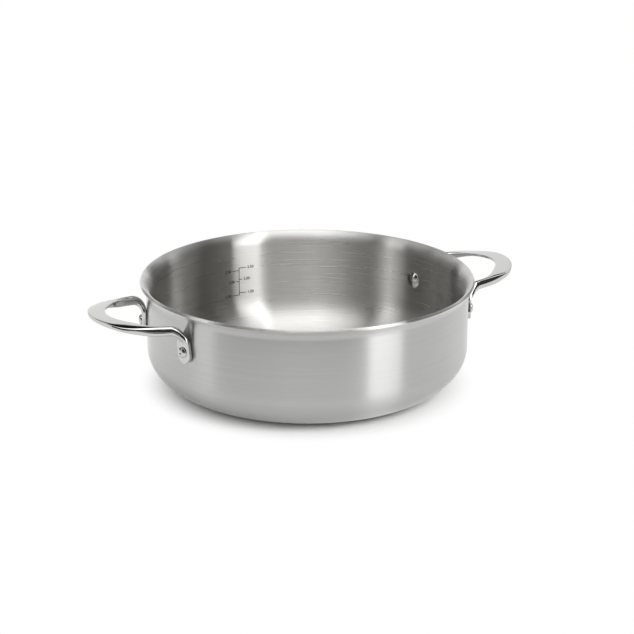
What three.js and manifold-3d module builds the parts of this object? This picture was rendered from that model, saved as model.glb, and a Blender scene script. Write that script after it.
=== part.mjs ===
// A clad stainless-steel saute pan with a flared pouring lip and two riveted loop handles.
// Millimetres, +Z up. The origin is the centre of the base and the handles lie along X.

import * as THREE from 'three';
import { mergeVertices } from 'three/addons/utils/BufferGeometryUtils.js';
import Module from 'manifold-3d';

const { degToRad, lerp, smoothstep } = THREE.MathUtils;
const wasm = await Module();
wasm.setup();

// Pan body, measured on its outside
const BODY_DIAMETER = 252.6;
const PAN_HEIGHT = 86;
const BOTTOM_CURVE_WIDTH = 40;
const BOTTOM_CURVE_HEIGHT = 32;
const LIP_OVERHANG = 4.7;
const LIP_ANGLE = degToRad(58);
const RIM_EDGE_RADIUS = 0.45;

// Three sheets bonded face to face, from the outside in. The lining closes the rim over the others.
const SKIN_THICKNESS = 0.5;
const CORE_THICKNESS = 1.5;
const LINING_THICKNESS = 0.5;
const BOND_GAP = 0.02;

// Loop handles, each swept from foot to foot. The spread is that of the bends, and the feet lean apart
// below them. Between arm and tip the band's top bows down towards its outer side.
const HANDLE_REACH = 53.2;
const HANDLE_SPREAD = 82;
const FOOT_WIDTH = 13;
const FOOT_THICKNESS = 4;
const FOOT_BELOW_RIVET = 8.8;
const FOOT_LEAN = degToRad(9);
const BEND_RADIUS = 11;
const ARM_WIDTH = 6.6;
const ARM_THICKNESS = 7.2;
const ARM_CROWN = 4.9;
const TIP_WIDTH = 13;
const TIP_OUTER_THICKNESS = 4.9;
const TIP_INNER_THICKNESS = 2.4;
const RIM_TO_ARM = 9.9;
const TOP_RISE = 3;
const TOP_BOW = degToRad(15);

// Rivets, with a low dome inside the pan and a small dimpled head on the handle's foot
const RIVET_SPREAD = 83.4;
const RIM_TO_RIVET = 30.9;
const SHANK_DIAMETER = 6;
const INNER_HEAD_DIAMETER = 13;
const INNER_HEAD_RISE = 2.3;
const OUTER_HEAD_DIAMETER = 8.6;
const OUTER_HEAD_RISE = 1.8;
const HEAD_EDGE = 0.5;
const DIMPLE_DIAMETER = 2.4;
const DIMPLE_FLOOR_DIAMETER = 1.2;
const DIMPLE_DEPTH = 0.6;

// Clearances
const SEAT_GAP = 0.3;
const HOLE_CLEARANCE = 0.3;

// Roundness of the corners of the handle's section: 1 is an ellipse, lower is squarer
const FOOT_ROUNDNESS = 0.4;
const ARM_ROUNDNESS = 0.9;
const TIP_TOP_ROUNDNESS = 0.25;
const TIP_UNDER_ROUNDNESS = 0.7;

// Shares of the way from bend to tip over which each part of the section changes from domed arm to flat
// band, and those over which its top bows and levels out again
const CHANGES = {
  width: [0.1, 0.56],
  crown: [0.12, 0.62],
  outerDrop: [0.2, 0.7],
  innerDrop: [0.12, 0.62],
  topRoundness: [0.05, 0.42],
  underRoundness: [0.12, 0.62],
};
const BOWING = [0, 0.24];
const LEVELLING = [0.44, 0.9];

// Facets
const BODY_SEGMENTS = 56;
const BOTTOM_STEPS = 6;
const LIP_STEPS = 4;
const RIM_STEPS = 2;
const RIVET_SEGMENTS = 16;
const HEAD_STEPS = 3;
const SECTION_POINTS = 16;
const FOOT_END_STEPS = 4;
const BEND_STEPS = 7;
const LOOP_STEPS = 12;

// Values worked out from the driving dimensions
const bodyRadius = BODY_DIAMETER / 2;
const wallThickness = SKIN_THICKNESS + CORE_THICKNESS + LINING_THICKNESS;
const lipRadius = LIP_OVERHANG / (1 - Math.cos(LIP_ANGLE)) - RIM_EDGE_RADIUS;
const lipInnerReach = lipRadius + wallThickness - RIM_EDGE_RADIUS;
const lipStartHeight = PAN_HEIGHT - RIM_EDGE_RADIUS - lipInnerReach * Math.sin(LIP_ANGLE);
const rivetHeight = PAN_HEIGHT - RIM_TO_RIVET;
const shankRadius = SHANK_DIAMETER / 2;
const footCentreRadius = bodyRadius + SEAT_GAP + FOOT_THICKNESS / 2;
const footAngle = Math.asin(HANDLE_SPREAD / 2 / footCentreRadius);
const rivetAngle = Math.asin(RIVET_SPREAD / 2 / footCentreRadius);
const outerSeat = bodyRadius + SEAT_GAP + FOOT_THICKNESS + SEAT_GAP;

const steel = {
  lining: new THREE.MeshStandardMaterial({ color: 0xc4c3c0, roughness: 0.36, metalness: 1 }),
  skin: new THREE.MeshStandardMaterial({ color: 0xbdbdbb, roughness: 0.4, metalness: 1 }),
  polished: new THREE.MeshStandardMaterial({ color: 0xd4d4d3, roughness: 0.08, metalness: 1 }),
};
const aluminium = new THREE.MeshStandardMaterial({ color: 0xc9cbcd, roughness: 0.5, metalness: 1 });

// A closed triangle mesh with shared corners and no collapsed triangles
function closedMesh(geometry) {
  const plain = geometry.clone();
  plain.deleteAttribute('normal');
  plain.deleteAttribute('uv');
  const merged = mergeVertices(plain);
  const index = merged.getIndex().array;
  const kept = [];
  for (let i = 0; i < index.length; i += 3) {
    const [a, b, c] = index.slice(i, i + 3);
    if (a !== b && b !== c && c !== a) kept.push(a, b, c);
  }
  merged.setIndex(kept);
  return merged;
}

function toSolid(geometry) {
  const mesh = closedMesh(geometry);
  const vertProperties = new Float32Array(mesh.getAttribute('position').array);
  const triVerts = new Uint32Array(mesh.getIndex().array);
  return new wasm.Manifold(new wasm.Mesh({ numProp: 3, vertProperties, triVerts }));
}

function toGeometry(solid) {
  const { vertProperties, triVerts } = solid.getMesh();
  const geometry = new THREE.BufferGeometry();
  geometry.setAttribute('position', new THREE.BufferAttribute(vertProperties, 3));
  geometry.setIndex(new THREE.BufferAttribute(triVerts, 1));
  geometry.computeVertexNormals();
  return geometry;
}

// A point of the flared lip, at an angle round the flare's centre.
// Depths are counted inwards from the outside of the pan.
function lipPoint(depth, angle) {
  return new THREE.Vector2(
    bodyRadius + lipRadius - (lipRadius + depth) * Math.cos(angle),
    lipStartHeight + (lipRadius + depth) * Math.sin(angle),
  );
}

// One side of a sheet as a profile from the axis to the rim
function sheetSide(depth, lipAngle) {
  const flatRadius = bodyRadius - BOTTOM_CURVE_WIDTH;
  const points = [new THREE.Vector2(0, depth)];
  for (let i = 0; i <= BOTTOM_STEPS; i += 1) {
    const angle = Math.PI / 2 * i / BOTTOM_STEPS;
    points.push(new THREE.Vector2(
      flatRadius + (BOTTOM_CURVE_WIDTH - depth) * Math.sin(angle),
      BOTTOM_CURVE_HEIGHT - (BOTTOM_CURVE_HEIGHT - depth) * Math.cos(angle),
    ));
  }
  for (let i = 0; i <= LIP_STEPS; i += 1) points.push(lipPoint(depth, lipAngle * i / LIP_STEPS));
  return points;
}

// The rim's edge with its two rounded corners, from the outside of the pan over to the inside
function rimEdge() {
  const along = new THREE.Vector2(Math.sin(LIP_ANGLE), Math.cos(LIP_ANGLE));
  const inwards = new THREE.Vector2(-Math.cos(LIP_ANGLE), Math.sin(LIP_ANGLE));
  const points = [];
  const corner = (depth, startAngle) => {
    const centre = lipPoint(depth, LIP_ANGLE);
    for (let i = 0; i <= RIM_STEPS; i += 1) {
      const angle = startAngle + Math.PI / 2 * i / RIM_STEPS;
      const point = centre.clone().addScaledVector(along, RIM_EDGE_RADIUS * Math.cos(angle));
      points.push(point.addScaledVector(inwards, RIM_EDGE_RADIUS * Math.sin(angle)));
    }
  };
  corner(RIM_EDGE_RADIUS, -Math.PI / 2);
  corner(wallThickness - RIM_EDGE_RADIUS, 0);
  return points;
}

// A hole for a rivet's shank, along the radius at an angle round the pan. It is drilled as far
// inwards from the skin as outwards, so that it clears both the wall and the handle's foot.
function rivetHole(angle) {
  const length = 2 * (wallThickness + SEAT_GAP + FOOT_THICKNESS);
  const tool = new THREE.CylinderGeometry(
    shankRadius + HOLE_CLEARANCE, shankRadius + HOLE_CLEARANCE, length, RIVET_SEGMENTS);
  tool.rotateZ(-Math.PI / 2);
  tool.translate(bodyRadius, 0, rivetHeight);
  tool.rotateZ(angle);
  return toSolid(tool);
}

function drilled(geometry, angles) {
  let solid = toSolid(geometry);
  for (const angle of angles) solid = solid.subtract(rivetHole(angle));
  return toGeometry(solid);
}

// A sheet of the clad wall, revolved between two depths and drilled for the four rivets.
// The lip angle and the edge say where the sheet ends and what closes it there.
function sheet(name, material, outerDepth, innerDepth, lipAngle, edge) {
  const innerSide = sheetSide(innerDepth, lipAngle).reverse();
  const profile = [...sheetSide(outerDepth, lipAngle), ...edge, ...innerSide];
  const shell = new THREE.LatheGeometry(profile, BODY_SEGMENTS);
  shell.rotateX(Math.PI / 2);
  const angles = [rivetAngle, -rivetAngle, Math.PI + rivetAngle, Math.PI - rivetAngle];
  const mesh = new THREE.Mesh(drilled(shell, angles), material);
  mesh.name = name;
  return mesh;
}

// A horizontal unit vector at a heading counted from +X
function headingVector(heading) {
  return new THREE.Vector3(Math.cos(heading), Math.sin(heading), 0);
}

function leftOf(heading) {
  return headingVector(heading + Math.PI / 2);
}

// The handle's section at its foot, along its arm and at its tip. Crown is the height of the back,
// or top, over the section's widest line. The outer and inner drops reach from there to the face.
const footSection = {
  width: FOOT_WIDTH,
  crown: FOOT_THICKNESS / 2,
  outerDrop: FOOT_THICKNESS / 2,
  innerDrop: FOOT_THICKNESS / 2,
  topRoundness: FOOT_ROUNDNESS,
  underRoundness: FOOT_ROUNDNESS,
};
const armSection = {
  width: ARM_WIDTH,
  crown: ARM_CROWN,
  outerDrop: ARM_THICKNESS - ARM_CROWN,
  innerDrop: ARM_THICKNESS - ARM_CROWN,
  topRoundness: ARM_ROUNDNESS,
  underRoundness: ARM_ROUNDNESS,
};
const tipSection = {
  width: TIP_WIDTH,
  crown: TIP_INNER_THICKNESS / 2,
  outerDrop: TIP_OUTER_THICKNESS - TIP_INNER_THICKNESS / 2,
  innerDrop: TIP_INNER_THICKNESS / 2,
  topRoundness: TIP_TOP_ROUNDNESS,
  underRoundness: TIP_UNDER_ROUNDNESS,
};

// A section between two others, with a share of the way for each of its parts
function blendSections(from, to, shareOf) {
  const entries = Object.keys(from).map((key) => [key, lerp(from[key], to[key], shareOf(key))]);
  return Object.fromEntries(entries);
}

// Stations along half of the handle, from the lower end of a foot, up the foot, out through the
// bend and round the loop to its tip. In plan the loop is half an ellipse whose ends are the two
// bends. Each station carries its section and the directions of the section's outer side and of its
// face, which is the front of the foot and becomes the underside of the loop.
function halfHandle() {
  const footX = footCentreRadius * Math.cos(footAngle);
  const footY = HANDLE_SPREAD / 2;
  const loopLength = bodyRadius + HANDLE_REACH - TIP_WIDTH / 2 - footX;
  const armTop = PAN_HEIGHT - RIM_TO_ARM;
  const slope = Math.atan2(TOP_RISE, loopLength - BEND_RADIUS);
  const bendStart = armTop - (ARM_CROWN + BEND_RADIUS) * Math.cos(slope);
  const bendEnd = BEND_RADIUS * (1 - Math.sin(slope));
  const endRadius = FOOT_WIDTH / 2;
  const endHeight = rivetHeight - FOOT_BELOW_RIVET + endRadius;
  const endCentre = (bendStart - endHeight) / Math.cos(FOOT_LEAN);
  const up = new THREE.Vector3(-Math.sin(slope), 0, Math.cos(slope));
  const stations = [];

  // Distances below the bend are measured along the leaning foot, which follows the wall
  const footStation = (below, width) => {
    const bearing = footAngle + below * Math.sin(FOOT_LEAN) / footCentreRadius;
    const face = headingVector(bearing);
    const centre = face.clone().multiplyScalar(footCentreRadius);
    centre.z = bendStart - below * Math.cos(FOOT_LEAN);
    const side = leftOf(bearing).multiplyScalar(Math.cos(FOOT_LEAN));
    side.z = Math.sin(FOOT_LEAN);
    stations.push({ centre, side, face, section: { ...footSection, width }, bow: 0 });
  };
  for (let i = 1; i <= FOOT_END_STEPS; i += 1) {
    const angle = Math.PI / 2 * i / FOOT_END_STEPS;
    footStation(endCentre + endRadius * Math.cos(angle), FOOT_WIDTH * Math.sin(angle));
  }
  footStation(0, FOOT_WIDTH);

  const planAt = (out) => {
    const angle = Math.acos(out / loopLength);
    const heading = Math.atan2(-footY * Math.cos(angle), loopLength * Math.sin(angle));
    return { angle, heading, y: footY * Math.sin(angle) };
  };
  for (let i = 1; i <= BEND_STEPS; i += 1) {
    const part = i / BEND_STEPS;
    const turn = (Math.PI / 2 - slope) * part;
    const out = BEND_RADIUS * (1 - Math.cos(turn));
    const { heading, y } = planAt(out);
    const blend = smoothstep(part, 0, 1);
    const aim = lerp(footAngle, heading, blend);
    const lean = FOOT_LEAN * (1 - blend);
    const face = headingVector(aim).multiplyScalar(Math.cos(turn));
    face.z = -Math.sin(turn);
    const along = headingVector(aim).multiplyScalar(Math.sin(turn));
    along.z = Math.cos(turn);
    stations.push({
      centre: new THREE.Vector3(footX + out, y, bendStart + BEND_RADIUS * Math.sin(turn)),
      side: leftOf(aim).multiplyScalar(Math.cos(lean)).addScaledVector(along, Math.sin(lean)),
      face,
      section: blendSections(footSection, armSection, () => blend),
      bow: 0,
    });
  }

  const loopStart = planAt(bendEnd).angle;
  for (let i = 1; i <= LOOP_STEPS; i += 1) {
    const part = i / LOOP_STEPS;
    const out = loopLength * Math.cos(loopStart * (1 - part));
    const { heading, y } = planAt(out);
    const shareOf = (key) => smoothstep(part, ...CHANGES[key]);
    const section = blendSections(armSection, tipSection, shareOf);
    const bowed = smoothstep(part, ...BOWING) - smoothstep(part, ...LEVELLING);
    const top = new THREE.Vector3(footX + out, y, armTop + (out - bendEnd) * Math.tan(slope));
    stations.push({
      centre: top.addScaledVector(up, -section.crown),
      side: leftOf(heading).projectOnPlane(up).normalize(),
      face: up.clone().negate(),
      section,
      bow: Math.tan(TOP_BOW) * bowed,
    });
  }
  return stations;
}

// The ring of points round one station: an ellipse drawn out towards its corners, and bowed down
// towards its outer side
function sectionRing({ centre, side, face, section, bow }) {
  const ring = [];
  for (let i = 0; i < SECTION_POINTS; i += 1) {
    const angle = 2 * Math.PI * i / SECTION_POINTS;
    const cos = Math.cos(angle);
    const sin = Math.sin(angle);
    const roundness = sin < 0 ? section.topRoundness : section.underRoundness;
    const across = Math.sign(cos) * Math.abs(cos) ** roundness;
    const through = Math.sign(sin) * Math.abs(sin) ** roundness;
    const outwards = (1 + across) / 2;
    const drop = lerp(section.innerDrop, section.outerDrop, outwards);
    const bowDrop = bow * section.width / 2 * outwards ** 2;
    const depth = through * (sin < 0 ? section.crown : drop) + bowDrop;
    const point = centre.clone().addScaledVector(side, across * section.width / 2);
    ring.push(point.addScaledVector(face, depth));
  }
  return ring;
}

// A closed skin over a row of rings, with a flat fan over each end
function loft(rings) {
  const count = rings[0].length;
  const points = rings.flat();
  const index = [];
  for (let i = 0; i + 1 < rings.length; i += 1) {
    for (let j = 0; j < count; j += 1) {
      const a = i * count + j;
      const b = i * count + (j + 1) % count;
      index.push(a, a + count, b, b, a + count, b + count);
    }
  }
  const last = (rings.length - 1) * count;
  for (let j = 1; j + 1 < count; j += 1) {
    index.push(0, j, j + 1);
    index.push(last, last + j + 1, last + j);
  }
  const geometry = new THREE.BufferGeometry();
  geometry.setFromPoints(points);
  geometry.setIndex(index);
  return geometry;
}

function handle(name) {
  const half = halfHandle().map(sectionRing);
  const mirrored = half.slice(0, -1).reverse()
    .map((ring) => ring.map((point) => point.clone().setY(-point.y)));
  const geometry = drilled(loft([...half, ...mirrored]), [rivetAngle, -rivetAngle]);
  const mesh = new THREE.Mesh(geometry, steel.polished);
  mesh.name = name;
  return mesh;
}

// A domed head's outline from its rim to a flat of the given radius, rising from a seat
function domeProfile(headRadius, flatRadius, seat, rise) {
  const points = [];
  for (let i = 0; i <= HEAD_STEPS; i += 1) {
    const radius = lerp(headRadius, flatRadius, i / HEAD_STEPS);
    const fall = (radius / headRadius) ** 2;
    const edge = Math.sign(rise) * HEAD_EDGE;
    points.push(new THREE.Vector2(radius, seat + edge + (rise - edge) * (1 - fall)));
  }
  return points;
}

// A rivet along +X, seated on the lining inside the pan and on the handle's foot outside
function rivet(name) {
  const innerRadius = INNER_HEAD_DIAMETER / 2;
  const outerRadius = OUTER_HEAD_DIAMETER / 2;
  const dimpleRadius = DIMPLE_DIAMETER / 2;
  const liningRadius = (bodyRadius - wallThickness) * Math.cos(Math.PI / BODY_SEGMENTS);
  const innerSeat = Math.sqrt(liningRadius ** 2 - innerRadius ** 2) - SEAT_GAP;
  const inner = domeProfile(innerRadius, 0, innerSeat, -INNER_HEAD_RISE).reverse();
  const outer = domeProfile(outerRadius, dimpleRadius, outerSeat, OUTER_HEAD_RISE);
  const dimpleFloor = outer.at(-1).y - DIMPLE_DEPTH;
  const profile = [
    ...inner,
    new THREE.Vector2(innerRadius, innerSeat),
    new THREE.Vector2(shankRadius, innerSeat),
    new THREE.Vector2(shankRadius, outerSeat),
    new THREE.Vector2(outerRadius, outerSeat),
    ...outer,
    new THREE.Vector2(DIMPLE_FLOOR_DIAMETER / 2, dimpleFloor),
    new THREE.Vector2(0, dimpleFloor),
  ];
  const shape = new THREE.LatheGeometry(profile, RIVET_SEGMENTS);
  shape.rotateZ(-Math.PI / 2);
  const mesh = new THREE.Mesh(closedMesh(shape), steel.polished);
  mesh.name = name;
  return mesh;
}

function turned(angle, height, child) {
  const group = new THREE.Group();
  group.rotation.z = angle;
  group.position.z = height;
  group.add(child);
  return group;
}

// A handle with its two rivets, made on +X and turned to its side of the pan
function handleSet(side, turn, rivetNames) {
  const group = new THREE.Group();
  group.add(handle(`handle_${side}`));
  group.add(turned(rivetAngle, rivetHeight, rivet(rivetNames[0])));
  group.add(turned(-rivetAngle, rivetHeight, rivet(rivetNames[1])));
  group.rotation.z = turn;
  return group;
}

const coreDepth = SKIN_THICKNESS + BOND_GAP;
const liningDepth = SKIN_THICKNESS + CORE_THICKNESS;
const coveredAngle = LIP_ANGLE - BOND_GAP / lipRadius;

const pan = new THREE.Group();
pan.add(sheet('outer_skin', steel.skin, 0, SKIN_THICKNESS, coveredAngle, []));
pan.add(sheet('aluminium_core', aluminium, coreDepth, liningDepth - BOND_GAP, coveredAngle, []));
pan.add(sheet('inner_lining', steel.lining, liningDepth, wallThickness, LIP_ANGLE, rimEdge()));
pan.add(handleSet('right', 0, ['rivet_right_far', 'rivet_right_near']));
pan.add(handleSet('left', Math.PI, ['rivet_left_near', 'rivet_left_far']));

export default pan;
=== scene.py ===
import math
from typing import NamedTuple

import bmesh
import bpy
from bpy.props import FloatProperty, FloatVectorProperty, PointerProperty
from bpy.types import Operator, Panel, PropertyGroup
from mathutils import Matrix, Vector


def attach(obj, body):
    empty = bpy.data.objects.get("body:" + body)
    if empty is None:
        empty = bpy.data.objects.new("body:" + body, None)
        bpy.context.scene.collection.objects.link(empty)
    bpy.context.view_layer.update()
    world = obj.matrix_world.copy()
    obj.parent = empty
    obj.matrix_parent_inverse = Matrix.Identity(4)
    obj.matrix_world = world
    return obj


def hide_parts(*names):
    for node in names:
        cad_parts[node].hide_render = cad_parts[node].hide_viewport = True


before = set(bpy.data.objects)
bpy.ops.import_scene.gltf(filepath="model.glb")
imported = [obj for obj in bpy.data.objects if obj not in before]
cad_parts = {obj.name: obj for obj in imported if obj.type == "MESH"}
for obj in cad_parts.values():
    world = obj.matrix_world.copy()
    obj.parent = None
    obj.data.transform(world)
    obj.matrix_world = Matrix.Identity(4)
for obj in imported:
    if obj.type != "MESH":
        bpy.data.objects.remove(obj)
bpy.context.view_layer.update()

bl_info = {
    "name": "Clad Saute Pan",
    "version": (1, 0, 0),
    "blender": (4, 5, 0),
    "location": "View3D > Sidebar > Pan",
    "description": "A clad steel saute pan with riveted loop handles, on a white studio floor",
    "category": "Add Mesh",
}

BODY = "root"
MM = 0.001

# Fineness of the meshes
TURN_STEPS = 192
CURVE_STEPS = 24
LIP_STEPS = 14
EDGE_STEPS = 5
SECTION_POINTS = 64
FOOT_END_STEPS = 14
BEND_STEPS = 22
LOOP_STEPS = 64
RIVET_STEPS = 64
DOME_STEPS = 12
FLOOR_STEPS = 96
CLOTH_STEPS = 48
WELD = 0.001 * MM
SHARP_ANGLE = math.radians(38)

# Where the photograph was taken from, and the lens's focal length in millimetres
CAMERA_BEARING = math.radians(-25.6)
CAMERA_TURN = math.radians(-0.296)
CAMERA_TILT = math.radians(18.794)
CAMERA_ROLL = math.radians(0.169)
CAMERA_PLACE = Vector((-0.6452, -1.3465, 0.5602))
LENS = 113.565

UP = Vector((0, 0, 1))
ORIGIN = (0, 0, 0)
QUARTER_TURN = math.pi / 2
WHITE = (1, 1, 1, 1)


def length(name, description, millimetres):
    return FloatProperty(name=name, description=description, default=millimetres * MM,
                         unit="LENGTH", precision=5)


def angle(name, description, degrees):
    return FloatProperty(name=name, description=description, default=math.radians(degrees),
                         subtype="ANGLE")


def number(name, description, value):
    return FloatProperty(name=name, description=description, default=value)


def linear(code):
    """A colour written as sRGB hex, as linear red, green and blue."""
    levels = [int(code[i:i + 2], 16) / 255 for i in (1, 3, 5)]
    return [v / 12.92 if v <= 0.04045 else ((v + 0.055) / 1.055) ** 2.4 for v in levels]


def colour(name, description, code):
    return FloatVectorProperty(name=name, description=description, default=linear(code),
                               subtype="COLOR", min=0, max=1)


class PanBodySizes(PropertyGroup):
    """The clad bowl of the pan."""

    diameter: length("Diameter", "Across the outside of the straight wall", 252.6)
    height: length("Height", "From the table to the top of the rim", 86)
    curve_width: length("Curve width", "How far the bottom edge curves in from the wall", 40)
    curve_height: length("Curve height", "How far the bottom edge curves up from the base", 32)
    lip_overhang: length("Lip overhang", "How far the rim stands out past the wall", 4.7)
    lip_angle: angle("Lip angle", "How far the lip has turned outwards at its edge", 58)
    edge_radius: length("Edge radius", "Rounding of the rim's two corners", 0.45)
    skin: length("Skin", "Thickness of the outer steel", 0.5)
    core: length("Core", "Thickness of the aluminium between the steels", 1.5)
    lining: length("Lining", "Thickness of the inner steel", 0.5)


class HandleSizes(PropertyGroup):
    """A loop handle, swept from foot to foot."""

    reach: length("Reach", "From the wall to the tip of the loop", 53.2)
    spread: length("Spread", "Between the middles of the two bends", 82)
    lean: angle("Lean", "How far the feet lean apart towards their lower ends", 9)
    foot_width: length("Foot width", "Width of the plate that the rivet holds", 13)
    foot_thickness: length("Foot thickness", "Thickness of that plate", 4)
    foot_below: length("Foot below rivet", "From the rivet's centre to the foot's lower end", 8.8)
    bend: length("Bend radius", "Radius of the bend from foot to arm", 11)
    arm_width: length("Arm width", "Width of the domed arm", 6.6)
    arm_thickness: length("Arm thickness", "Height of the domed arm", 7.2)
    arm_crown: length("Arm crown", "Height of the dome over the arm's widest line", 4.9)
    tip_width: length("Tip width", "Width of the flat band at the tip", 13)
    tip_outer: length("Tip outer thickness", "Height of the band's outer side", 4.9)
    tip_inner: length("Tip inner thickness", "Height of the band's inner side", 2.4)
    rim_to_arm: length("Rim to arm", "How far the arm's top lies below the rim", 9.9)
    rise: length("Rise", "How far the loop's top rises from bend to tip", 3)
    bow: angle("Bow", "How far the band's top slopes down to its outer side between arm and tip", 15)
    seat: length("Seat", "Gap between the wall and the foot", 0.05)


class RivetSizes(PropertyGroup):
    """The rivets that hold the handles."""

    spread: length("Spread", "Between the middles of a handle's two rivets", 83.4)
    rim_to_rivet: length("Rim to rivet", "How far the rivets lie below the rim", 30.9)
    shank: length("Shank", "Diameter of the shank", 6)
    inner_head: length("Inner head", "Diameter of the domed head inside the pan", 13)
    inner_rise: length("Inner rise", "Height of the domed head", 2.6)
    outer_head: length("Outer head", "Diameter of the set head on the foot", 8.6)
    outer_rise: length("Outer rise", "Height of the set head", 2.1)
    edge: length("Edge", "Height of a head's straight edge", 0.8)
    corner: length("Corner", "Rounding over that edge", 0.3)
    dimple: length("Dimple", "Diameter of the set head's dimple", 2.4)
    dimple_depth: length("Dimple depth", "Depth of the dimple", 0.6)


class ScaleSizes(PropertyGroup):
    """The measuring scale on the inside of the wall."""

    bearing: angle("Bearing", "Where the scale's line stands, counted from the right handle", 92)
    line: length("Line width", "Width of the scale's lines", 0.55)
    proud: length("Proud", "How far the marks stand out of the wall", 0.08)
    long_tick: length("Long tick", "Length of the first and last ticks", 6.4)
    short_tick: length("Short tick", "Length of the tick between them", 3)
    text: length("Text height", "Height of the numbers", 2.3)
    text_weight: length("Text weight", "How far the numbers' outlines are thickened", 0.07)
    text_gap: length("Text gap", "From the end of a tick to its number", 1.1)


class FinishColours(PropertyGroup):
    """Colours of the metals, the marks and the floor."""

    skin: colour("Skin", "Brushed steel on the outside", "#D1D1D0")
    lining: colour("Lining", "Brushed steel on the inside", "#DBDAD7")
    core: colour("Core", "Rolled aluminium", "#DADCDE")
    polished: colour("Polished", "Polished steel of handles and rivets", "#CACAC8")
    mark: colour("Mark", "Etched marks of the scale", "#3C3B39")
    floor: colour("Floor", "Studio floor", "#F6F6F5")


class StageSettings(PropertyGroup):
    """Studio light round the pan."""

    ambient: number("Ambient", "Strength of the surrounding white for diffuse light", 0.5)


def make_object(bm, name, material):
    """Makes a bmesh an object of the scene, at the origin."""
    mesh = bpy.data.meshes.new(name)
    bm.to_mesh(mesh)
    bm.free()
    mesh.materials.append(material)
    made = bpy.data.objects.new(name, mesh)
    bpy.context.scene.collection.objects.link(made)
    return made


def lay_out(bm, name, material, nodes):
    """Makes a bmesh a finished piece of the pan that stands for CAD nodes."""
    bmesh.ops.remove_doubles(bm, verts=bm.verts, dist=WELD)
    bmesh.ops.recalc_face_normals(bm, faces=bm.faces)
    for face in bm.faces:
        face.smooth = True
    for edge in bm.edges:
        edge.smooth = edge.calc_face_angle(0) < SHARP_ANGLE
    piece = make_object(bm, name, material)
    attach(piece, BODY)
    if nodes:
        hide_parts(*nodes)


# Profiles are drawn in the XZ plane and then turned about Z

def start_at(bm, x, z):
    return bm.verts.new((x, 0, z))


def line_to(bm, corner, x, z):
    """Carries a profile on in a straight line and returns its new end."""
    end = bmesh.ops.extrude_vert_indiv(bm, verts=[corner])["verts"][0]
    bmesh.ops.translate(bm, verts=[end], vec=Vector((x, 0, z)) - end.co)
    return end


def arc_on(bm, corner, centre, turn, steps, squash=1):
    """Carries a profile on round a centre and returns its new end. A positive turn is anticlockwise.
    Squash is an ellipse's height over its width."""
    space = Matrix.Diagonal((1, 1, 1 / squash, 1)) @ Matrix.Translation((-centre[0], 0, -centre[1]))
    made = bmesh.ops.spin(bm, geom=[corner], cent=ORIGIN, axis=(0, -1, 0), angle=turn, steps=steps,
                          space=space)
    return next(v for v in made["geom_last"] if isinstance(v, bmesh.types.BMVert))


def turn_about_z(bm, steps):
    """Turns a drawn profile all the way round. The spin leaves its faces in no fixed order, so they
    are sorted by their corners, which makes the mesh the same each time."""
    geometry = bm.verts[:] + bm.edges[:]
    bmesh.ops.spin(bm, geom=geometry, cent=ORIGIN, axis=UP, angle=2 * math.pi, steps=steps,
                   use_merge=True)
    bm.verts.index_update()
    corner_count = len(bm.verts)

    def rank(face):
        corners = [vert.index for vert in face.verts]
        return min(corners) * corner_count + max(corners)

    bm.faces.sort(key=rank)


class Wall:
    """The wall's form, from which every sheet and fitting takes its place.
    Depths are counted inwards from the pan's outside."""

    def __init__(self, sizes):
        self.radius = sizes.diameter / 2
        self.thickness = sizes.skin + sizes.core + sizes.lining
        self.flat = self.radius - sizes.curve_width
        self.curve_width = sizes.curve_width
        self.curve_height = sizes.curve_height
        self.edge = sizes.edge_radius
        self.lip_angle = sizes.lip_angle
        self.lip_radius = sizes.lip_overhang / (1 - math.cos(sizes.lip_angle)) - sizes.edge_radius
        inner_reach = self.lip_radius + self.thickness - self.edge
        self.lip_start = sizes.height - self.edge - inner_reach * math.sin(self.lip_angle)
        self.lip_centre = (self.radius + self.lip_radius, self.lip_start)

    def squash(self, depth):
        """Height over width of the bottom curve at a depth."""
        return (self.curve_height - depth) / (self.curve_width - depth)

    def lip_point(self, depth):
        """The end of the lip at a depth."""
        reach = self.lip_radius + depth
        return Vector((self.lip_centre[0] - reach * math.cos(self.lip_angle),
                       self.lip_centre[1] + reach * math.sin(self.lip_angle)))

    def draw_out(self, bm, depth):
        """Draws a sheet's side at a depth, from the axis to the end of the lip."""
        curve_centre = (self.flat, self.curve_height)
        end = line_to(bm, start_at(bm, 0, depth), self.flat, depth)
        end = arc_on(bm, end, curve_centre, QUARTER_TURN, CURVE_STEPS, self.squash(depth))
        end = line_to(bm, end, self.radius - depth, self.lip_start)
        return arc_on(bm, end, self.lip_centre, -self.lip_angle, LIP_STEPS)

    def draw_back(self, bm, end, depth):
        """Draws such a side from the end of the lip back to the axis."""
        curve_centre = (self.flat, self.curve_height)
        end = arc_on(bm, end, self.lip_centre, self.lip_angle, LIP_STEPS)
        end = line_to(bm, end, self.radius - depth, self.curve_height)
        end = arc_on(bm, end, curve_centre, -QUARTER_TURN, CURVE_STEPS, self.squash(depth))
        line_to(bm, end, 0, depth)


def sheet(wall, outer_depth, inner_depth):
    """A sheet between two depths, cut off square at the end of the lip."""
    bm = bmesh.new()
    end = wall.draw_out(bm, outer_depth)
    end = line_to(bm, end, *wall.lip_point(inner_depth))
    wall.draw_back(bm, end, inner_depth)
    turn_about_z(bm, TURN_STEPS)
    return bm


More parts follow.
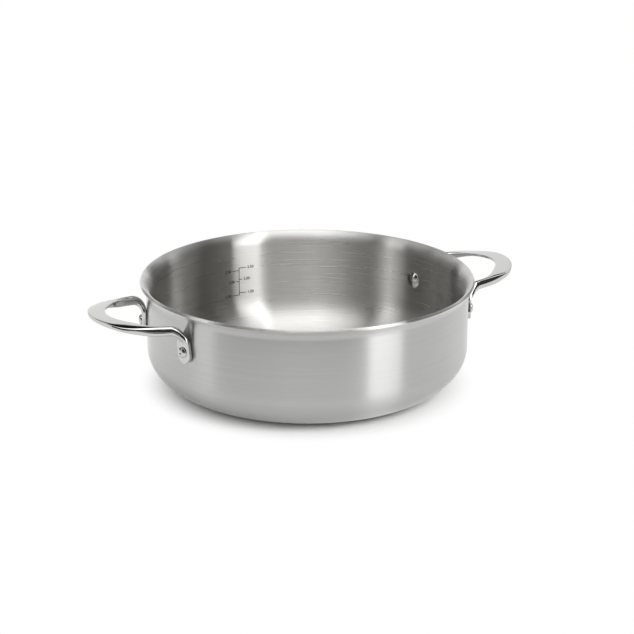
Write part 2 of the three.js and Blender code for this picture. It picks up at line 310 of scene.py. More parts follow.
def closing_sheet(wall, outer_depth):
    """The innermost sheet, which is folded over the edges of the others into a rounded rim."""
    bm = bmesh.new()
    end = wall.draw_out(bm, outer_depth)
    end = line_to(bm, end, *wall.lip_point(0))
    end = arc_on(bm, end, wall.lip_point(wall.edge), QUARTER_TURN, EDGE_STEPS)
    along = Vector((math.sin(wall.lip_angle), math.cos(wall.lip_angle)))
    inner_corner = wall.lip_point(wall.thickness - wall.edge)
    end = line_to(bm, end, *(inner_corner + wall.edge * along))
    end = arc_on(bm, end, inner_corner, QUARTER_TURN, EDGE_STEPS)
    wall.draw_back(bm, end, wall.thickness)
    turn_about_z(bm, TURN_STEPS)
    return bm


def heading(bearing):
    """A level unit vector at a bearing counted from +X."""
    return Vector((math.cos(bearing), math.sin(bearing), 0))


def ease(share, low=0.0, high=1.0):
    """A smooth step from 0 at low to 1 at high."""
    t = min(max((share - low) / (high - low), 0), 1)
    return t * t * (3 - 2 * t)


def mix(a, b, share):
    return a + (b - a) * share


class Loop:
    """The line that a handle follows, with its section at every station.

    A section is its width, the height of its back, the drops of its outer and inner sides to the face,
    and the roundness of its back and its face. A station is a centre, the direction of the outer side,
    that of the face, a section and its bow."""

    # Roundness of a section's corners: 1 is an ellipse, lower is squarer
    FOOT_ROUNDNESS = 0.4
    ARM_ROUNDNESS = 0.9
    TIP_TOP_ROUNDNESS = 0.25
    TIP_UNDER_ROUNDNESS = 0.7
    # Shares of the way from bend to tip between which each value of the section goes from arm to band
    CHANGES = ((0.1, 0.56), (0.12, 0.62), (0.2, 0.7), (0.12, 0.62), (0.05, 0.42), (0.12, 0.62))
    # Shares between which the top bows down to its outer side, and those between which it levels out
    BOWING = (0, 0.24)
    LEVELLING = (0.44, 0.9)

    def __init__(self, wall, sizes, rivets, pan_height):
        self.sizes = sizes
        self.rivet_height = pan_height - rivets.rim_to_rivet
        self.foot_radius = wall.radius + sizes.seat + sizes.foot_thickness / 2
        self.bearing = math.asin(sizes.spread / 2 / self.foot_radius)
        self.rivet_bearing = math.asin(rivets.spread / 2 / self.foot_radius)
        self.foot_x = self.foot_radius * math.cos(self.bearing)
        self.foot_y = sizes.spread / 2
        self.reach = wall.radius + sizes.reach - sizes.tip_width / 2 - self.foot_x
        self.arm_top = pan_height - sizes.rim_to_arm
        self.slope = math.atan2(sizes.rise, self.reach - sizes.bend)
        self.bend_start = self.arm_top - (sizes.arm_crown + sizes.bend) * math.cos(self.slope)
        self.bend_end = sizes.bend * (1 - math.sin(self.slope))
        half_foot = sizes.foot_thickness / 2
        arm_drop = sizes.arm_thickness - sizes.arm_crown
        half_tip = sizes.tip_inner / 2
        self.foot = Vector((sizes.foot_width, half_foot, half_foot, half_foot,
                            self.FOOT_ROUNDNESS, self.FOOT_ROUNDNESS))
        self.arm = Vector((sizes.arm_width, sizes.arm_crown, arm_drop, arm_drop,
                           self.ARM_ROUNDNESS, self.ARM_ROUNDNESS))
        self.tip = Vector((sizes.tip_width, half_tip, sizes.tip_outer - half_tip, half_tip,
                           self.TIP_TOP_ROUNDNESS, self.TIP_UNDER_ROUNDNESS))

    def plan_at(self, out):
        """The loop's turn, bearing and place across, seen from above, at a distance out from the feet."""
        turn = math.acos(out / self.reach)
        bearing = math.atan2(-self.foot_y * math.cos(turn), self.reach * math.sin(turn))
        return turn, bearing, self.foot_y * math.sin(turn)

    def stations(self):
        """Stations along half of the handle, from the lower end of a foot to the tip of the loop."""
        return [*self.foot_stations(), *self.bend_stations(), *self.loop_stations()]

    def foot_station(self, below, width):
        """A station of the foot, at a distance below the bend, measured along the leaning foot."""
        lean = self.sizes.lean
        bearing = self.bearing + below * math.sin(lean) / self.foot_radius
        height = self.bend_start - below * math.cos(lean)
        centre = heading(bearing) * self.foot_radius + UP * height
        side = heading(bearing + QUARTER_TURN) * math.cos(lean) + UP * math.sin(lean)
        section = self.foot.copy()
        section[0] = width
        return centre, side, heading(bearing), section, 0

    def foot_stations(self):
        """Stations round the foot's lower end, and one where the bend starts."""
        sizes = self.sizes
        end_radius = sizes.foot_width / 2
        end_height = self.rivet_height - sizes.foot_below + end_radius
        end_centre = (self.bend_start - end_height) / math.cos(sizes.lean)
        for i in range(1, FOOT_END_STEPS + 1):
            turn = QUARTER_TURN * i / FOOT_END_STEPS
            below = end_centre + end_radius * math.cos(turn)
            yield self.foot_station(below, sizes.foot_width * math.sin(turn))
        yield self.foot_station(0, sizes.foot_width)

    def bend_stations(self):
        """Stations round the bend, over which the foot turns into the arm."""
        sizes = self.sizes
        for i in range(1, BEND_STEPS + 1):
            turn = (QUARTER_TURN - self.slope) * i / BEND_STEPS
            out = sizes.bend * (1 - math.cos(turn))
            _, bearing, y = self.plan_at(out)
            share = ease(i / BEND_STEPS)
            aim = mix(self.bearing, bearing, share)
            lean = sizes.lean * (1 - share)
            centre = Vector((self.foot_x + out, y, self.bend_start + sizes.bend * math.sin(turn)))
            face = heading(aim) * math.cos(turn) - UP * math.sin(turn)
            along = heading(aim) * math.sin(turn) + UP * math.cos(turn)
            side = heading(aim + QUARTER_TURN) * math.cos(lean) + along * math.sin(lean)
            yield centre, side, face, self.foot.lerp(self.arm, share), 0

    def loop_stations(self):
        """Stations from the bend to the tip, over which the arm turns into the flat band."""
        up = Vector((-math.sin(self.slope), 0, math.cos(self.slope)))
        loop_start, _, _ = self.plan_at(self.bend_end)
        for i in range(1, LOOP_STEPS + 1):
            share = i / LOOP_STEPS
            out = self.reach * math.cos(loop_start * (1 - share))
            _, bearing, y = self.plan_at(out)
            section = [mix(arm, tip, ease(share, *span))
                       for arm, tip, span in zip(self.arm, self.tip, self.CHANGES)]
            rise = (out - self.bend_end) * math.tan(self.slope)
            top = Vector((self.foot_x + out, y, self.arm_top + rise))
            side = heading(bearing + QUARTER_TURN)
            side = (side - up * side.dot(up)).normalized()
            bow = math.tan(self.sizes.bow) * (ease(share, *self.BOWING) - ease(share, *self.LEVELLING))
            yield top - up * section[1], side, -up, section, bow


def bulge(value, roundness):
    return math.copysign(abs(value) ** roundness, value)


def section_ring(bm, station, capped):
    """A circle drawn out into a station's section. Returns its edges."""
    centre, side, face, (width, back, outer_drop, inner_drop, back_round, face_round), bow = station
    ring = bmesh.ops.create_circle(bm, cap_ends=capped, segments=SECTION_POINTS, radius=1)["verts"]
    for vert in ring:
        roundness = back_round if vert.co.y < 0 else face_round
        across, through = bulge(vert.co.x, roundness), bulge(vert.co.y, roundness)
        outwards = (1 + across) / 2
        depth = through * (back if through < 0 else mix(inner_drop, outer_drop, outwards))
        depth += bow * width / 2 * outwards ** 2
        vert.co = centre + side * (across * width / 2) + face * depth
    return list({edge for vert in ring for edge in vert.link_edges})


def loop_handle(loop, turn):
    """A handle lofted from its foot to its tip, mirrored, and turned to its side of the pan."""
    bm = bmesh.new()
    last = None
    for station in loop.stations():
        ring = section_ring(bm, station, capped=last is None)
        if last:
            bmesh.ops.bridge_loops(bm, edges=last + ring)
        last = ring
    geometry = bm.verts[:] + bm.edges[:] + bm.faces[:]
    bmesh.ops.mirror(bm, geom=geometry, axis="Y", merge_dist=WELD)
    bmesh.ops.rotate(bm, verts=bm.verts, cent=ORIGIN, matrix=Matrix.Rotation(turn, 3, "Z"))
    return bm


def dome_radius(run, fall):
    """Radius of a dome that falls by some height over a run from its top."""
    return (run * run + fall * fall) / (2 * fall)


def rivet(wall, loop, sizes, bearing):
    """A rivet with a dome inside the pan and a dimpled head on the foot, drawn up its own axis."""
    bm = bmesh.new()
    inner_radius, outer_radius = sizes.inner_head / 2, sizes.outer_head / 2
    shank, dimple = sizes.shank / 2, sizes.dimple / 2
    dimple_floor = dimple / 2
    inner_seat = wall.radius - wall.thickness
    outer_seat = loop.foot_radius + loop.sizes.foot_thickness / 2
    top = outer_seat + sizes.outer_rise
    end = start_at(bm, 0, top - sizes.dimple_depth)
    end = line_to(bm, end, dimple_floor, top - sizes.dimple_depth)
    end = line_to(bm, end, dimple, top)
    run, fall = outer_radius - sizes.corner - end.co.x, end.co.z - outer_seat - sizes.edge
    bow = dome_radius(run, fall)
    end = arc_on(bm, end, (end.co.x, end.co.z - bow), -math.asin(run / bow), DOME_STEPS)
    end = arc_on(bm, end, (end.co.x, end.co.z - sizes.corner), -QUARTER_TURN, EDGE_STEPS)
    end = line_to(bm, end, outer_radius, outer_seat)
    end = line_to(bm, end, shank, outer_seat)
    end = line_to(bm, end, shank, inner_seat)
    end = line_to(bm, end, inner_radius, inner_seat)
    end = line_to(bm, end, inner_radius, inner_seat - sizes.edge + sizes.corner)
    end = arc_on(bm, end, (end.co.x - sizes.corner, end.co.z), -QUARTER_TURN, EDGE_STEPS)
    run, fall = end.co.x, sizes.inner_rise - sizes.edge
    bow = dome_radius(run, fall)
    arc_on(bm, end, (0, end.co.z - fall + bow), -math.asin(run / bow), DOME_STEPS)
    turn_about_z(bm, RIVET_STEPS)
    stand = Matrix.Translation((0, 0, loop.rivet_height)) @ Matrix.Rotation(bearing, 4, "Z")
    bmesh.ops.transform(bm, verts=bm.verts, matrix=stand @ Matrix.Rotation(QUARTER_TURN, 4, "Y"))
    return bm


def add_node(tree, kind, links=None, **settings):
    """Adds a shader node with its settings, and its sockets' values or the outputs that feed them."""
    node = tree.nodes.new("ShaderNode" + kind)
    for key, value in settings.items():
        setattr(node, key, value)
    for socket, source in (links or {}).items():
        if isinstance(source, bpy.types.NodeSocket):
            tree.links.new(source, node.inputs[socket])
        else:
            node.inputs[socket].default_value = source
    return node


def new_material(name):
    material = bpy.data.materials.new(name)
    material.use_nodes = True
    material.node_tree.nodes.clear()
    return material, material.node_tree


def rgba(colour_value, factor=1.0):
    return (*[v * factor for v in colour_value], 1)


# Sockets of a Mix node that blends two colours
COLOUR_A = 6
COLOUR_B = 7
COLOUR_OUT = 2

# Levels between which most of a noise lies
NOISE_LOW = 0.3
NOISE_HIGH = 0.7

# The sheets' brushing. Real scratches are about 0.1 mm wide. These are coarser, so that they show from
# where the camera stands. Tones are shares of the steel's colour.
SCRATCH_PITCH = 1.6 * MM
SCRATCH_RUN = 120 * MM
SCRATCH_TONES = (0.92, 1.07)
SCRATCH_ROUGHNESS = 0.01
EDGE_ON_POWER = 5


def brushed_streaks(tree, pitch, run):
    """Noise drawn out round the pan's axis. Pitch is the width of a streak and run its length at the
    wall."""
    place = add_node(tree, "TexCoord").outputs["Object"]
    level = add_node(tree, "VectorMath", {0: place, 1: (1, 1, 0)}, operation="MULTIPLY")
    level = level.outputs["Vector"]
    radius = add_node(tree, "VectorMath", {0: level}, operation="LENGTH").outputs["Value"]
    round_axis = add_node(tree, "VectorMath", {0: level}, operation="NORMALIZE").outputs["Vector"]
    wall_radius = bpy.context.scene.pan_body.diameter / 2
    spread = add_node(tree, "VectorMath", {0: round_axis, "Scale": wall_radius / run}, operation="SCALE")
    height = add_node(tree, "SeparateXYZ", {0: place}).outputs["Z"]
    meridian = add_node(tree, "Math", {0: radius, 1: height}, operation="ADD").outputs["Value"]
    across = add_node(tree, "Math", {0: meridian, 1: 1 / pitch}, operation="MULTIPLY").outputs["Value"]
    lifted = add_node(tree, "CombineXYZ", {"Z": across}).outputs["Vector"]
    vector = add_node(tree, "VectorMath", {0: spread.outputs["Vector"], 1: lifted}, operation="ADD")
    noise = add_node(tree, "TexNoise", {
        "Vector": vector.outputs["Vector"], "Scale": 1, "Detail": 3, "Roughness": 0.65})
    return noise.outputs["Fac"]


def brushed_stainless(name, colour_value, roughness, anisotropy):
    """Stainless sheet brushed round the pan. Each scratch runs round the axis, so lights are drawn
    out up and down the wall into upright bands, with fine streaks across them. A glossy shader keeps
    the bands as narrow as those of real steel. Seen edge-on, the metal whitens."""
    material, tree = new_material(name)
    streaks = brushed_streaks(tree, SCRATCH_PITCH, SCRATCH_RUN)
    dark, light = (rgba(colour_value, tone) for tone in SCRATCH_TONES)
    steel = add_node(tree, "Mix", {"Factor": streaks, COLOUR_A: dark, COLOUR_B: light},
                     data_type="RGBA").outputs[COLOUR_OUT]
    edge_on = add_node(tree, "LayerWeight", {"Blend": 0.5}).outputs["Facing"]
    whitening = add_node(tree, "Math", {0: edge_on, 1: EDGE_ON_POWER}, operation="POWER")
    tone = add_node(tree, "Mix", {"Factor": whitening.outputs["Value"], COLOUR_A: steel, COLOUR_B: WHITE},
                    data_type="RGBA").outputs[COLOUR_OUT]
    rough = add_node(tree, "MapRange", {
        "Value": streaks, "From Min": NOISE_LOW, "From Max": NOISE_HIGH,
        "To Min": roughness - SCRATCH_ROUGHNESS, "To Max": roughness + SCRATCH_ROUGHNESS})
    grain = add_node(tree, "Tangent", direction_type="RADIAL", axis="Z")
    shader = add_node(tree, "BsdfAnisotropic", {
        "Color": tone, "Roughness": rough.outputs["Result"], "Tangent": grain.outputs["Tangent"],
        "Anisotropy": anisotropy})
    add_node(tree, "OutputMaterial", {"Surface": shader.outputs["BSDF"]})
    return material


def polished_stainless(name, colour_value):
    """Cast or turned stainless polished to a mirror. The polishing leaves it slightly wavy, which
    bends its reflections, and faint smears dull them here and there."""
    wave = 9 * MM
    wave_height = 0.05 * MM
    smear = 2.5 * MM
    material, tree = new_material(name)
    place = add_node(tree, "TexCoord").outputs["Object"]
    waves = add_node(tree, "TexNoise", {"Vector": place, "Scale": 1 / wave, "Detail": 1})
    smears = add_node(tree, "TexNoise", {"Vector": place, "Scale": 1 / smear, "Detail": 2})
    rough = add_node(tree, "MapRange", {
        "Value": smears.outputs["Fac"], "From Min": NOISE_LOW, "From Max": NOISE_HIGH,
        "To Min": 0.05, "To Max": 0.1})
    bump = add_node(tree, "Bump", {
        "Height": waves.outputs["Fac"], "Strength": 0.4, "Distance": wave_height})
    shader = add_node(tree, "BsdfPrincipled", {
        "Base Color": rgba(colour_value), "Roughness": rough.outputs["Result"],
        "Normal": bump.outputs["Normal"], "Metallic": 1})
    add_node(tree, "OutputMaterial", {"Surface": shader.outputs["BSDF"]})
    return material


def rolled_aluminium(name, colour_value):
    """Rolled aluminium, closed in by the steel: a soft, pale metal with faint rolling streaks."""
    streak_shade = 0.92
    material, tree = new_material(name)
    streaks = brushed_streaks(tree, pitch=1.5 * MM, run=40 * MM)
    tone = add_node(tree, "Mix", {
        "Factor": streaks, COLOUR_A: rgba(colour_value, streak_shade), COLOUR_B: rgba(colour_value)},
        data_type="RGBA").outputs[COLOUR_OUT]
    shader = add_node(tree, "BsdfPrincipled", {"Base Color": tone, "Roughness": 0.45, "Metallic": 1})
    add_node(tree, "OutputMaterial", {"Surface": shader.outputs["BSDF"]})
    return material


def etched_mark(name, colour_value):
    """Marks etched dark into the brushed steel: matt, slightly uneven grey."""
    grain = 0.3 * MM
    grain_tones = (0.8, 1.3)
    material, tree = new_material(name)
    place = add_node(tree, "TexCoord").outputs["Object"]
    grains = add_node(tree, "TexNoise", {"Vector": place, "Scale": 1 / grain, "Detail": 2})
    dark, light = (rgba(colour_value, tone) for tone in grain_tones)
    tone = add_node(tree, "Mix", {"Factor": grains.outputs["Fac"], COLOUR_A: dark, COLOUR_B: light},
                    data_type="RGBA").outputs[COLOUR_OUT]
    shader = add_node(tree, "BsdfPrincipled", {"Base Color": tone, "Roughness": 0.55, "Metallic": 0.4})
    add_node(tree, "OutputMaterial", {"Surface": shader.outputs["BSDF"]})
    return material


# Distances from the pan's axis between which the paper turns white, for the camera and in reflections
PAPER_SEEN = (0.096, 0.135)
PAPER_REFLECTED = (0.105, 0.2)


def studio_paper(name, colour_value):
    """Seamless white paper: matt, with nothing to see but the pan's shadow. Away from the pan it runs
    out into the white background, for the camera and, a little further out, in reflections."""
    material, tree = new_material(name)
    place = add_node(tree, "TexCoord").outputs["Object"]
    distance = add_node(tree, "VectorMath", {0: place}, operation="LENGTH").outputs["Value"]
    path = add_node(tree, "LightPath").outputs
    bounced = add_node(tree, "Math", {0: path["Is Glossy Ray"], 1: path["Is Transmission Ray"]},
                       operation="ADD", use_clamp=True).outputs["Value"]
    shares = []
    for ray, (start, end) in ((path["Is Camera Ray"], PAPER_SEEN), (bounced, PAPER_REFLECTED)):
        far = add_node(tree, "MapRange", {"Value": distance, "From Min": start, "From Max": end},
                       interpolation_type="SMOOTHSTEP").outputs["Result"]
        shares.append(add_node(tree, "Math", {0: ray, 1: far}, operation="MULTIPLY").outputs["Value"])
    share = add_node(tree, "Math", {0: shares[0], 1: shares[1]}, operation="ADD")
    paper = add_node(tree, "BsdfDiffuse", {"Color": rgba(colour_value)})
    white = add_node(tree, "Emission", {"Color": WHITE, "Strength": 1})
    shader = add_node(tree, "MixShader", {
        0: share.outputs["Value"], 1: paper.outputs["BSDF"], 2: white.outputs["Emission"]})
    add_node(tree, "OutputMaterial", {"Surface": shader.outputs["Shader"]})
    return material


# Painted reflection greys of the cloth, standing in for the dim studio round the pan, at bearings counted
# in degrees from the camera's side, to its right
PAINTED_REFLECTION_GREYS = (
    (-135, "#2C2C2C"),
    (-100, "#646464"),
    (-60, "#505050"),
    (34, "#565656"),
    (60, "#4C4C4C"),
    (100, "#5C5C5C"),
    (135, "#2C2C2C"),
)


def painted_reflection_cloth(name):
    """Grey cloth hung round the set, which the steel shows as soft greys. Its greys are painted
    reflection:
    they stand in for the dim studio round the pan, mid grey in front and at the sides, and darkest towards
    the back."""
    material, tree = new_material(name)
    place = add_node(tree, "TexCoord").outputs["Object"]
    turned = add_node(tree, "Mapping", {
        "Vector": place, "Rotation": (0, 0, QUARTER_TURN - CAMERA_BEARING)})
    bearing = add_node(tree, "TexGradient", {"Vector": turned.outputs["Vector"]}, gradient_type="RADIAL")
    ramp = add_node(tree, "ValToRGB", {"Fac": bearing.outputs["Fac"]})
    stops = ramp.color_ramp.elements
    while len(stops) < len(PAINTED_REFLECTION_GREYS):
        stops.new(0.5)
    for stop, (degrees, code) in zip(stops, PAINTED_REFLECTION_GREYS):
        stop.position = 0.5 + degrees / 360
        stop.color = rgba(linear(code))
    shader = add_node(tree, "BsdfDiffuse", {"Color": ramp.outputs["Color"]})
    add_node(tree, "OutputMaterial", {"Surface": shader.outputs["BSDF"]})
    return material


def around(bearing, distance):
    """A place on the floor. Bearings are counted in degrees from the camera's side, to its right."""
    turn = math.radians(bearing) + CAMERA_BEARING
    return Vector((math.sin(turn), -math.cos(turn), 0)) * distance


def set_camera():
    camera = bpy.data.objects.new("camera", bpy.data.cameras.new("camera"))
    camera.data.lens = LENS
    camera.data.clip_start = 0.01
    spin = Matrix.Rotation(CAMERA_BEARING + CAMERA_TURN, 3, "Z")
    forward = spin @ Vector((0, math.cos(CAMERA_TILT), -math.sin(CAMERA_TILT)))
    right = spin @ Vector((1, 0, 0))
    up = right.cross(forward)
    right, up = (right * math.cos(CAMERA_ROLL) + up * math.sin(CAMERA_ROLL),
                 up * math.cos(CAMERA_ROLL) - right * math.sin(CAMERA_ROLL))
    turn = Matrix((right, up, -forward)).transposed().to_4x4()
    camera.matrix_world = Matrix.Translation(CAMERA_PLACE) @ turn
    bpy.context.scene.collection.objects.link(camera)
    bpy.context.scene.camera = camera


def softbox(name, place, aim, width, height, radiance):
    """A rectangular lamp at a place, turned to face a direction. Its radiance is that of a surface,
    where white paper is 1."""
    lamp = bpy.data.lights.new(name, "AREA")
    lamp.shape = "RECTANGLE"
    lamp.size, lamp.size_y = width, height
    lamp.energy = radiance * math.pi * width * height
    box = bpy.data.objects.new(name, lamp)
    turn = aim.to_track_quat("-Z", "Y")
    box.matrix_world = Matrix.Translation(place) @ turn.to_matrix().to_4x4()
    bpy.context.scene.collection.objects.link(box)
    return box


def surround(name, bearings, edges, material):
    """A cloth between two bearings that only reflections see. Each of its two edges has a distance
    from the pan's axis and a height."""
    bm = bmesh.new()
    start, end = bearings
    corners = [bm.verts.new(around(start, distance) + UP * height) for distance, height in edges]
    edge = bm.edges.new(corners)
    turn = math.radians(end - start)
    bmesh.ops.spin(bm, geom=[*corners, edge], cent=ORIGIN, axis=UP, angle=turn, steps=CLOTH_STEPS)
    painted_cloth = make_object(bm, name, material)
    painted_cloth.visible_camera = painted_cloth.visible_diffuse = painted_cloth.visible_shadow = False


def white_world(ambient):
    """White all round for the camera and for reflections, and a softer level for diffuse light."""
    world = bpy.data.worlds.new("studio")
    world.use_nodes = True
    tree = world.node_tree
    tree.nodes.clear()
    path = add_node(tree, "LightPath").outputs
    seen = add_node(tree, "Math", {0: path["Is Camera Ray"], 1: path["Is Glossy Ray"]}, operation="ADD")
    seen = add_node(tree, "Math", {0: seen.outputs["Value"], 1: path["Is Transmission Ray"]},
                    operation="ADD", use_clamp=True)
    strength = add_node(tree, "MapRange", {
        "Value": seen.outputs["Value"], "To Min": ambient, "To Max": 1})
    light = add_node(tree, "Background", {"Color": WHITE, "Strength": strength.outputs["Result"]})
    add_node(tree, "OutputWorld", {"Surface": light.outputs["Background"]})
    bpy.context.scene.world = world


class SideLamp(NamedTuple):
    """An upright lamp that faces the pan's axis. Middle is the height of its middle."""

    name: str
    bearing: float
    distance: float
    middle: float
    width: float
    height: float
    radiance: float


class PAN_OT_set_stage(Operator):
    """Set up the floor, the studio light and the camera"""

    bl_idname = "pan.set_stage"
    bl_label = "Set Stage"

    FLOOR_RADIUS = 6

    # Lamps that only reflections see, beside the pan and over it
    SIDE_LAMPS = (
        SideLamp("strip_softbox", bearing=50.5, distance=0.66, middle=0.55, width=0.27, height=1.0,
                 radiance=3.1),
        SideLamp("fill_softbox", bearing=-75, distance=0.9, middle=0.66, width=0.26, height=0.8,
                 radiance=1.35),
        SideLamp("left_softbox", bearing=-118, distance=0.9, middle=0.7, width=0.09, height=0.8,
                 radiance=0.7),
        SideLamp("right_softbox", bearing=125, distance=0.9, middle=0.7, width=0.13, height=0.8,
                 radiance=0.6),
    )
    TOP_PLACE = around(0, 0.33) + UP * 1.2
    TOP_WIDTH = 1.0
    TOP_LENGTH = 1.04
    TOP_RADIANCE = 1.85

    # The lamp that throws the shadow, which reflections don't see
    KEY_PLACE = around(50, 1.4) + UP * 1.1
    KEY_WIDTH = 0.7
    KEY_RADIANCE = 9.0

    # Cloths hung round the set, which only reflections see and which paint the dim studio into the steel's
    #     # reflections, with the bearings of their ends and the heights of their edges
    CLOTH_DISTANCE = 2.5
    CLOTHS = (
        ("front_surround", (-85, 85), (0.1, 5)),
        ("left_surround", (-124, -85), (0.1, 2.2)),
        ("left_back_surround", (-145, -124), (0.1, 1.05)),
        ("right_surround", (85, 122), (0.1, 3.6)),
        ("right_back_surround", (122, 157), (0.1, 1.05)),
        ("back_surround", (150, 210), (1.65, 5)),
    )

    # The cloth that lies on the floor in front of the pan, which only reflections see. It paints a darker
    #     # floor into the steel's reflections
    FLOOR_CLOTH_ENDS = (-60, 60)
    FLOOR_CLOTH_START = 0.47
    FLOOR_CLOTH_HEIGHT = 0.001

    def execute(self, context):
        colours, settings = context.scene.pan_finish, context.scene.pan_stage
        self.lay_floor(colours.floor)
        white_world(settings.ambient)
        self.set_lamps()
        self.hang_cloths()
        set_camera()
        context.scene.view_settings.view_transform = "Standard"
        return {"FINISHED"}

    def lay_floor(self, floor_colour):
        bm = bmesh.new()
        bmesh.ops.create_circle(bm, cap_ends=True, segments=FLOOR_STEPS, radius=self.FLOOR_RADIUS)
        floor = make_object(bm, "floor", studio_paper("seamless_white_paper", floor_colour))

    def set_lamps(self):
        for lamp in self.SIDE_LAMPS:
            place = around(lamp.bearing, lamp.distance) + UP * lamp.middle
            aim = -around(lamp.bearing, 1)
            side = softbox(lamp.name, place, aim, lamp.width, lamp.height, lamp.radiance)
            side.visible_diffuse = False
        top = softbox("top_softbox", self.TOP_PLACE, -UP, self.TOP_WIDTH, self.TOP_LENGTH,
                      self.TOP_RADIANCE)
        top.visible_diffuse = False
        key = softbox("key_softbox", self.KEY_PLACE, -self.KEY_PLACE, self.KEY_WIDTH, self.KEY_WIDTH,
                      self.KEY_RADIANCE)
        key.visible_glossy = False

    def hang_cloths(self):
        # The cloths' greys are painted reflections of the dim studio, which only the steel shows
        painted_cloth = painted_reflection_cloth("painted_reflection_grey_cloth")
        for name, bearings, heights in self.CLOTHS:
            edges = [(self.CLOTH_DISTANCE, height) for height in heights]
            surround(name, bearings, edges, painted_cloth)
        distances = (self.FLOOR_CLOTH_START, self.CLOTH_DISTANCE)
        edges = [(distance, self.FLOOR_CLOTH_HEIGHT) for distance in distances]
        surround("floor_cloth", self.FLOOR_CLOTH_ENDS, edges, painted_cloth)


class PAN_OT_build_body(Operator):
    """Build the clad bowl: outer skin, aluminium core and inner lining"""

    bl_idname = "pan.build_body"
    bl_label = "Build Body"

    BOND_GAP = 0.02 * MM
    # Roughness and anisotropy of the two steels
    SKIN_BRUSHING = (0.32, 0.7)
    LINING_BRUSHING = (0.28, 0.81)

    def execute(self, context):
        sizes, colours = context.scene.pan_body, context.scene.pan_finish
        wall = Wall(sizes)
        lining_depth = sizes.skin + sizes.core
        skin = sheet(wall, 0, sizes.skin)
        skin_steel = brushed_stainless("brushed_stainless_skin", colours.skin, *self.SKIN_BRUSHING)
        lay_out(skin, "pan_skin", skin_steel, ["outer_skin"])
        core = sheet(wall, sizes.skin + self.BOND_GAP, lining_depth - self.BOND_GAP)
        aluminium = rolled_aluminium("rolled_aluminium_core", colours.core)
        lay_out(core, "pan_core", aluminium, ["aluminium_core"])
        lining = closing_sheet(wall, lining_depth)
        lining_steel = brushed_stainless("brushed_stainless_lining", colours.lining, *self.LINING_BRUSHING)
        lay_out(lining, "pan_lining", lining_steel, ["inner_lining"])
        return {"FINISHED"}


class PAN_OT_build_handles(Operator):
    """Build the two polished loop handles"""

    bl_idname = "pan.build_handles"
    bl_label = "Build Handles"

    def execute(self, context):
        scene = context.scene
        loop = Loop(Wall(scene.pan_body), scene.pan_handle, scene.pan_rivet, scene.pan_body.height)
        finish = polished_stainless("polished_cast_stainless", scene.pan_finish.polished)
        for side, turn in (("right", 0), ("left", math.pi)):
            bm = loop_handle(loop, turn)
            lay_out(bm, f"loop_handle_{side}", finish, [f"handle_{side}"])
        return {"FINISHED"}


class PAN_OT_set_rivets(Operator):
    """Set the rivets that hold the handles"""

    bl_idname = "pan.set_rivets"
    bl_label = "Set Rivets"

    def execute(self, context):
        scene = context.scene
        wall = Wall(scene.pan_body)
        loop = Loop(wall, scene.pan_handle, scene.pan_rivet, scene.pan_body.height)
        finish = polished_stainless("polished_turned_stainless", scene.pan_finish.polished)
        turn = loop.rivet_bearing
        for node, bearing in (("rivet_right_far", turn), ("rivet_right_near", -turn),
                              ("rivet_left_near", math.pi + turn), ("rivet_left_far", math.pi - turn)):
            bm = rivet(wall, loop, scene.pan_rivet, bearing)
            lay_out(bm, f"set_{node}", finish, [node])
        return {"FINISHED"}


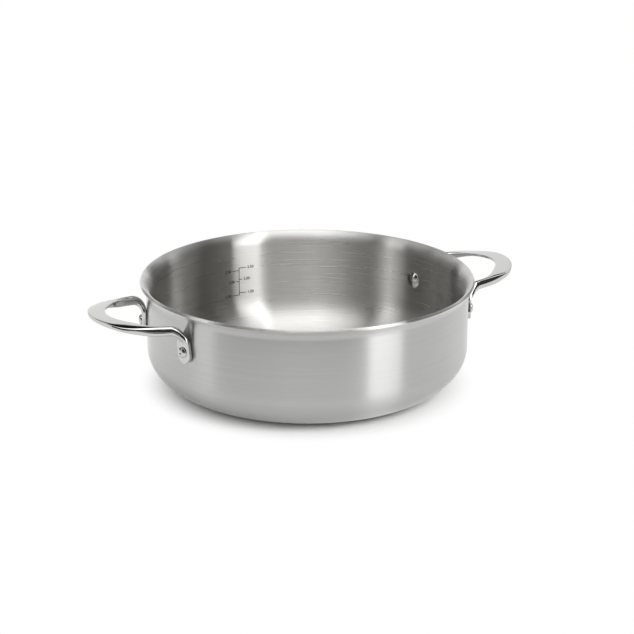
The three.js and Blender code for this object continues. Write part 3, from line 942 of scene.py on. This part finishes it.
class PAN_OT_etch_scale(Operator):
    """Etch the measuring scale into the wall, with litres on its right and quarts on its left"""

    bl_idname = "pan.etch_scale"
    bl_label = "Etch Scale"

    # Numbers and the heights of their ticks over the table in millimetres, as in the photograph.
    # The pan holds these volumes at these heights to within 5 per cent.
    LITRES = (("2.50", 58.0), ("2.00", 48.0), ("1.50", 36.1))
    QUARTS = (("2.50", 55.9), ("2.00", 46.3), ("1.50", 34.3))
    # Height of a numeral as a share of the font's size
    NUMERAL_HEIGHT = 0.7

    def wall_place(self, across, height):
        """The frame of a mark at a distance along the wall from the scale's line. Its back lies in the
        wall."""
        bearing = self.sizes.bearing - across / self.radius
        inwards = -heading(bearing)
        axes = Matrix((UP.cross(inwards), UP, inwards)).transposed().to_4x4()
        middle = heading(bearing) * self.radius + UP * height
        return Matrix.Translation(middle) @ axes

    def bar(self, bm, across, height, width, tall):
        """A straight mark, given by its middle, its width and how tall it is."""
        cube = bmesh.ops.create_cube(bm, size=1)["verts"]
        shape = Matrix.Diagonal((width, tall, 2 * self.sizes.proud, 1))
        bmesh.ops.transform(bm, verts=cube, matrix=self.wall_place(across, height) @ shape)

    def label(self, bm, words, across, height, align):
        """A number that starts or ends at a place on the wall, bent round it."""
        curve = bpy.data.curves.new("label", "FONT")
        curve.body = words
        curve.size = self.sizes.text / self.NUMERAL_HEIGHT
        curve.align_x, curve.align_y = align, "CENTER"
        curve.extrude = self.sizes.proud
        curve.offset = self.sizes.text_weight
        text = bpy.data.objects.new("label", curve)
        bpy.context.scene.collection.objects.link(text)
        bpy.context.view_layer.update()
        mesh = bpy.data.meshes.new_from_object(text.evaluated_get(bpy.context.evaluated_depsgraph_get()))
        for vert in mesh.vertices:
            x, y, z = vert.co
            vert.co = self.wall_place(across + x, height + y) @ Vector((0, 0, z))
        bm.from_mesh(mesh)
        bpy.data.objects.remove(text)
        bpy.data.meshes.remove(mesh)

    def execute(self, context):
        self.sizes = sizes = context.scene.pan_scale
        wall = Wall(context.scene.pan_body)
        self.radius = wall.radius - wall.thickness
        bm = bmesh.new()
        top, bottom = self.LITRES[0][1] * MM, self.QUARTS[-1][1] * MM
        self.bar(bm, 0, (top + bottom) / 2, sizes.line, top - bottom + sizes.line)
        for marks, side, align in ((self.LITRES, 1, "LEFT"), (self.QUARTS, -1, "RIGHT")):
            for i, (words, millimetres) in enumerate(marks):
                tick = sizes.short_tick if i == 1 else sizes.long_tick
                height = millimetres * MM
                self.bar(bm, side * tick / 2, height, tick, sizes.line)
                self.label(bm, words, side * (tick + sizes.text_gap), height, align)
        finish = etched_mark("etched_stainless_mark", context.scene.pan_finish.mark)
        lay_out(bm, "measuring_scale", finish, [])
        return {"FINISHED"}


class VIEW3D_PT_pan(Panel):
    """Sizes and build steps of the pan"""

    bl_label = "Saute Pan"
    bl_idname = "VIEW3D_PT_pan"
    bl_space_type = "VIEW_3D"
    bl_region_type = "UI"
    bl_category = "Pan"

    def draw(self, context):
        layout = self.layout
        for name, _ in GROUPS:
            settings = getattr(context.scene, name)
            box = layout.box()
            for key in settings.__annotations__:
                box.prop(settings, key)
        for step in STEPS:
            layout.operator(step.bl_idname)


GROUPS = (
    ("pan_body", PanBodySizes),
    ("pan_handle", HandleSizes),
    ("pan_rivet", RivetSizes),
    ("pan_scale", ScaleSizes),
    ("pan_finish", FinishColours),
    ("pan_stage", StageSettings),
)
STEPS = (PAN_OT_set_stage, PAN_OT_build_body, PAN_OT_build_handles, PAN_OT_set_rivets, PAN_OT_etch_scale)
CLASSES = (*(group for _, group in GROUPS), *STEPS, VIEW3D_PT_pan)


def register():
    for cls in CLASSES:
        bpy.utils.register_class(cls)
    for name, group in GROUPS:
        setattr(bpy.types.Scene, name, PointerProperty(type=group))


def unregister():
    for name, _ in GROUPS:
        delattr(bpy.types.Scene, name)
    for cls in reversed(CLASSES):
        bpy.utils.unregister_class(cls)


def main():
    register()
    bpy.ops.pan.set_stage()
    bpy.ops.pan.build_body()
    bpy.ops.pan.build_handles()
    bpy.ops.pan.set_rivets()
    bpy.ops.pan.etch_scale()


if __name__ == "__main__":
    main()
